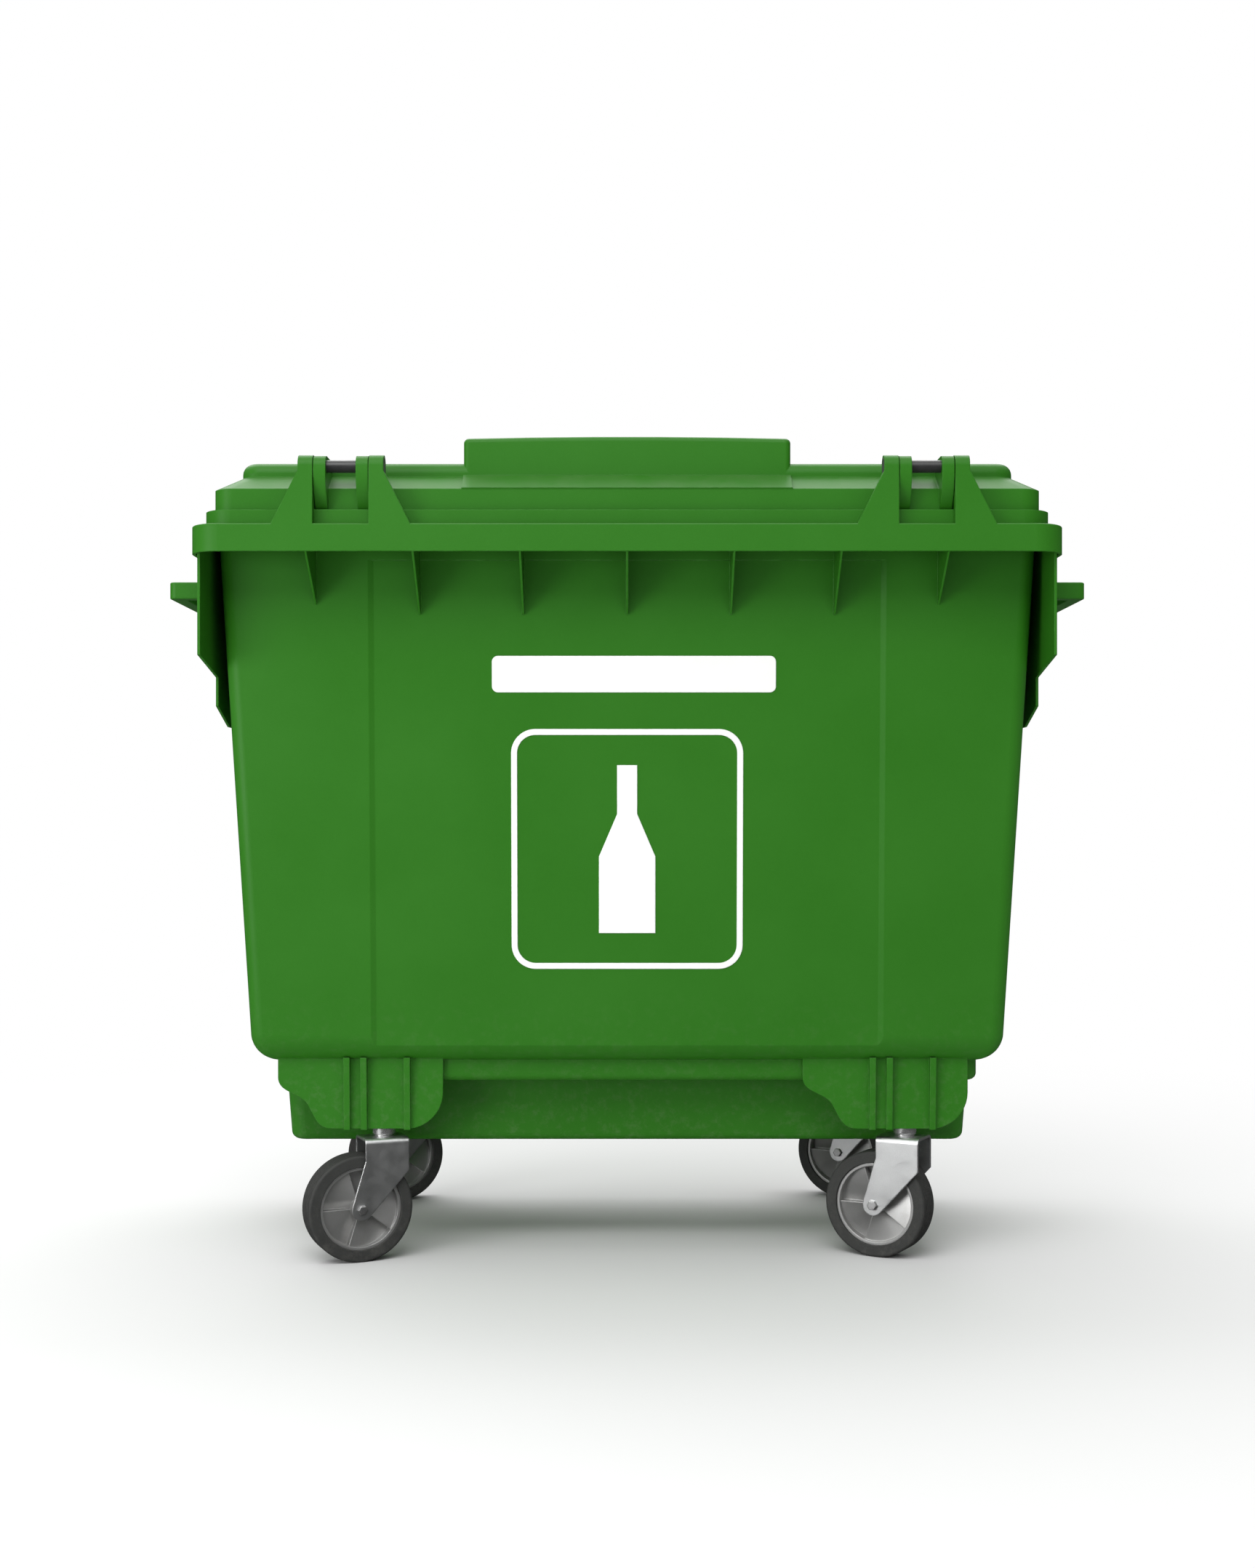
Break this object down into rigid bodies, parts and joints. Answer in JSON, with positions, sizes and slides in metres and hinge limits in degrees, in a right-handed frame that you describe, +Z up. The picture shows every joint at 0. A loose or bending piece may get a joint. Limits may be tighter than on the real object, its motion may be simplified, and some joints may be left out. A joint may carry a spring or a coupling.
{
  "type": "wheelie bin",
  "caption": "Large plastic refuse container with a hinged domed lid, rolling on swivel casters with parking brakes and emptied by a comb lifter under its rim.",
  "frame": {"origin": "on the ground, under the middle of the rim", "axes": "+Z up, +X along the long side, +Y from the hinge side towards the front"},
  "size_m": [1.368, 0.77, 1.2219],
  "materials": {
    "tub_plastic": "satin moulded polyethylene, fine grain",
    "lid_plastic": "satin moulded polyethylene, a little glossier",
    "hinge_rod": "black extruded rod",
    "black_plastic": "black moulded plastic",
    "tyre_rubber": "dark grey solid rubber",
    "wheel_plastic": "grey moulded polypropylene",
    "galvanised_sheet": "galvanised sheet steel",
    "pedal_sheet": "red coated sheet steel",
    "turned_steel": "zinc-plated turned steel",
    "zinc_fasteners": "bright zinc plate",
    "seal_rubber": "black rubber",
    "white_marking": "white heat-bonded film"
  },
  "bodies": {
    "tub_body": {"tub": "tub_plastic", "hinge_pin_left": "hinge_rod", "hinge_pin_right": "hinge_rod", "hinge_pin_caps": "black_plastic", "kingpins": "zinc_fasteners", "label_bar": "white_marking", "bottle_sign": "white_marking", "spigot_rear_left": "turned_steel", "swivel_race_rear_left": "turned_steel", "spigot_rear_right": "turned_steel", "swivel_race_rear_right": "turned_steel", "spigot_front_left": "turned_steel", "swivel_race_front_left": "turned_steel", "spigot_front_right": "turned_steel", "swivel_race_front_right": "turned_steel"},
    "lid_body": {"lid": "lid_plastic"},
    "drain": {"drain_plug": "black_plastic", "drain_seal": "seal_rubber"},
    "swivel_rear_left": {"fork_rear_left": "galvanised_sheet", "axle_bolt_rear_left": "zinc_fasteners", "axle_nut_rear_left": "zinc_fasteners", "axle_sleeve_rear_left": "zinc_fasteners"},
    "wheel_rear_left": {"wheel_centre_rear_left": "wheel_plastic", "tyre_rear_left": "tyre_rubber"},
    "swivel_rear_right": {"fork_rear_right": "galvanised_sheet", "axle_bolt_rear_right": "zinc_fasteners", "axle_nut_rear_right": "zinc_fasteners", "axle_sleeve_rear_right": "zinc_fasteners"},
    "wheel_rear_right": {"wheel_centre_rear_right": "wheel_plastic", "tyre_rear_right": "tyre_rubber"},
    "swivel_front_left": {"fork_front_left": "galvanised_sheet", "axle_bolt_front_left": "zinc_fasteners", "axle_nut_front_left": "zinc_fasteners", "axle_sleeve_front_left": "zinc_fasteners", "brake_rivets_front_left": "zinc_fasteners"},
    "wheel_front_left": {"wheel_centre_front_left": "wheel_plastic", "tyre_front_left": "tyre_rubber"},
    "brake_front_left": {"brake_pedal_front_left": "pedal_sheet"},
    "swivel_front_right": {"fork_front_right": "galvanised_sheet", "axle_bolt_front_right": "zinc_fasteners", "axle_nut_front_right": "zinc_fasteners", "axle_sleeve_front_right": "zinc_fasteners", "brake_rivets_front_right": "zinc_fasteners"},
    "wheel_front_right": {"wheel_centre_front_right": "wheel_plastic", "tyre_front_right": "tyre_rubber"},
    "brake_front_right": {"brake_pedal_front_right": "pedal_sheet"}
  },
  "joints": [
    {"name": "lid_hinge", "type": "hinge", "parent": "tub_body", "child": "lid_body", "pos_m": [0, -0.369, 1.168], "axis": [1, 0, 0], "range_deg": [0, 208]},
    {"name": "drain_turn", "type": "hinge", "parent": "tub_body", "child": "drain", "pos_m": [0, 0.025, 0.16], "axis": [0, 0, 1], "range_deg": [0, 90]},
    {"name": "swivel_rear_left", "type": "hinge", "parent": "tub_body", "child": "swivel_rear_left", "pos_m": [-0.36867, -0.21017, 0.185], "axis": [0, 0, 1], "continuous": true},
    {"name": "roll_rear_left", "type": "hinge", "parent": "swivel_rear_left", "child": "wheel_rear_left", "pos_m": [-0.40641, -0.22619, 0.08], "axis": [0.3907, -0.9205, 0], "continuous": true},
    {"name": "swivel_rear_right", "type": "hinge", "parent": "tub_body", "child": "swivel_rear_right", "pos_m": [0.42117, -0.21017, 0.185], "axis": [0, 0, 1], "continuous": true},
    {"name": "roll_rear_right", "type": "hinge", "parent": "swivel_rear_right", "child": "wheel_rear_right", "pos_m": [0.38531, -0.1903, 0.08], "axis": [-0.4848, -0.8746, 0], "continuous": true},
    {"name": "swivel_front_left", "type": "hinge", "parent": "tub_body", "child": "swivel_front_left", "pos_m": [-0.36867, 0.26017, 0.185], "axis": [0, 0, 1], "continuous": true},
    {"name": "roll_front_left", "type": "hinge", "parent": "swivel_front_left", "child": "wheel_front_left", "pos_m": [-0.40641, 0.24415, 0.08], "axis": [0.3907, -0.9205, 0], "continuous": true},
    {"name": "brake_front_left", "type": "hinge", "parent": "swivel_front_left", "child": "brake_front_left", "pos_m": [-0.37788, 0.25627, 0.138], "axis": [0.3907, -0.9205, 0], "range_deg": [0, 4.9]},
    {"name": "swivel_front_right", "type": "hinge", "parent": "tub_body", "child": "swivel_front_right", "pos_m": [0.42117, 0.26017, 0.185], "axis": [0, 0, 1], "continuous": true},
    {"name": "roll_front_right", "type": "hinge", "parent": "swivel_front_right", "child": "wheel_front_right", "pos_m": [0.38531, 0.28005, 0.08], "axis": [-0.4848, -0.8746, 0], "continuous": true},
    {"name": "brake_front_right", "type": "hinge", "parent": "swivel_front_right", "child": "brake_front_right", "pos_m": [0.41243, 0.26502, 0.138], "axis": [-0.4848, -0.8746, 0], "range_deg": [0, 4.9]}
  ]
}
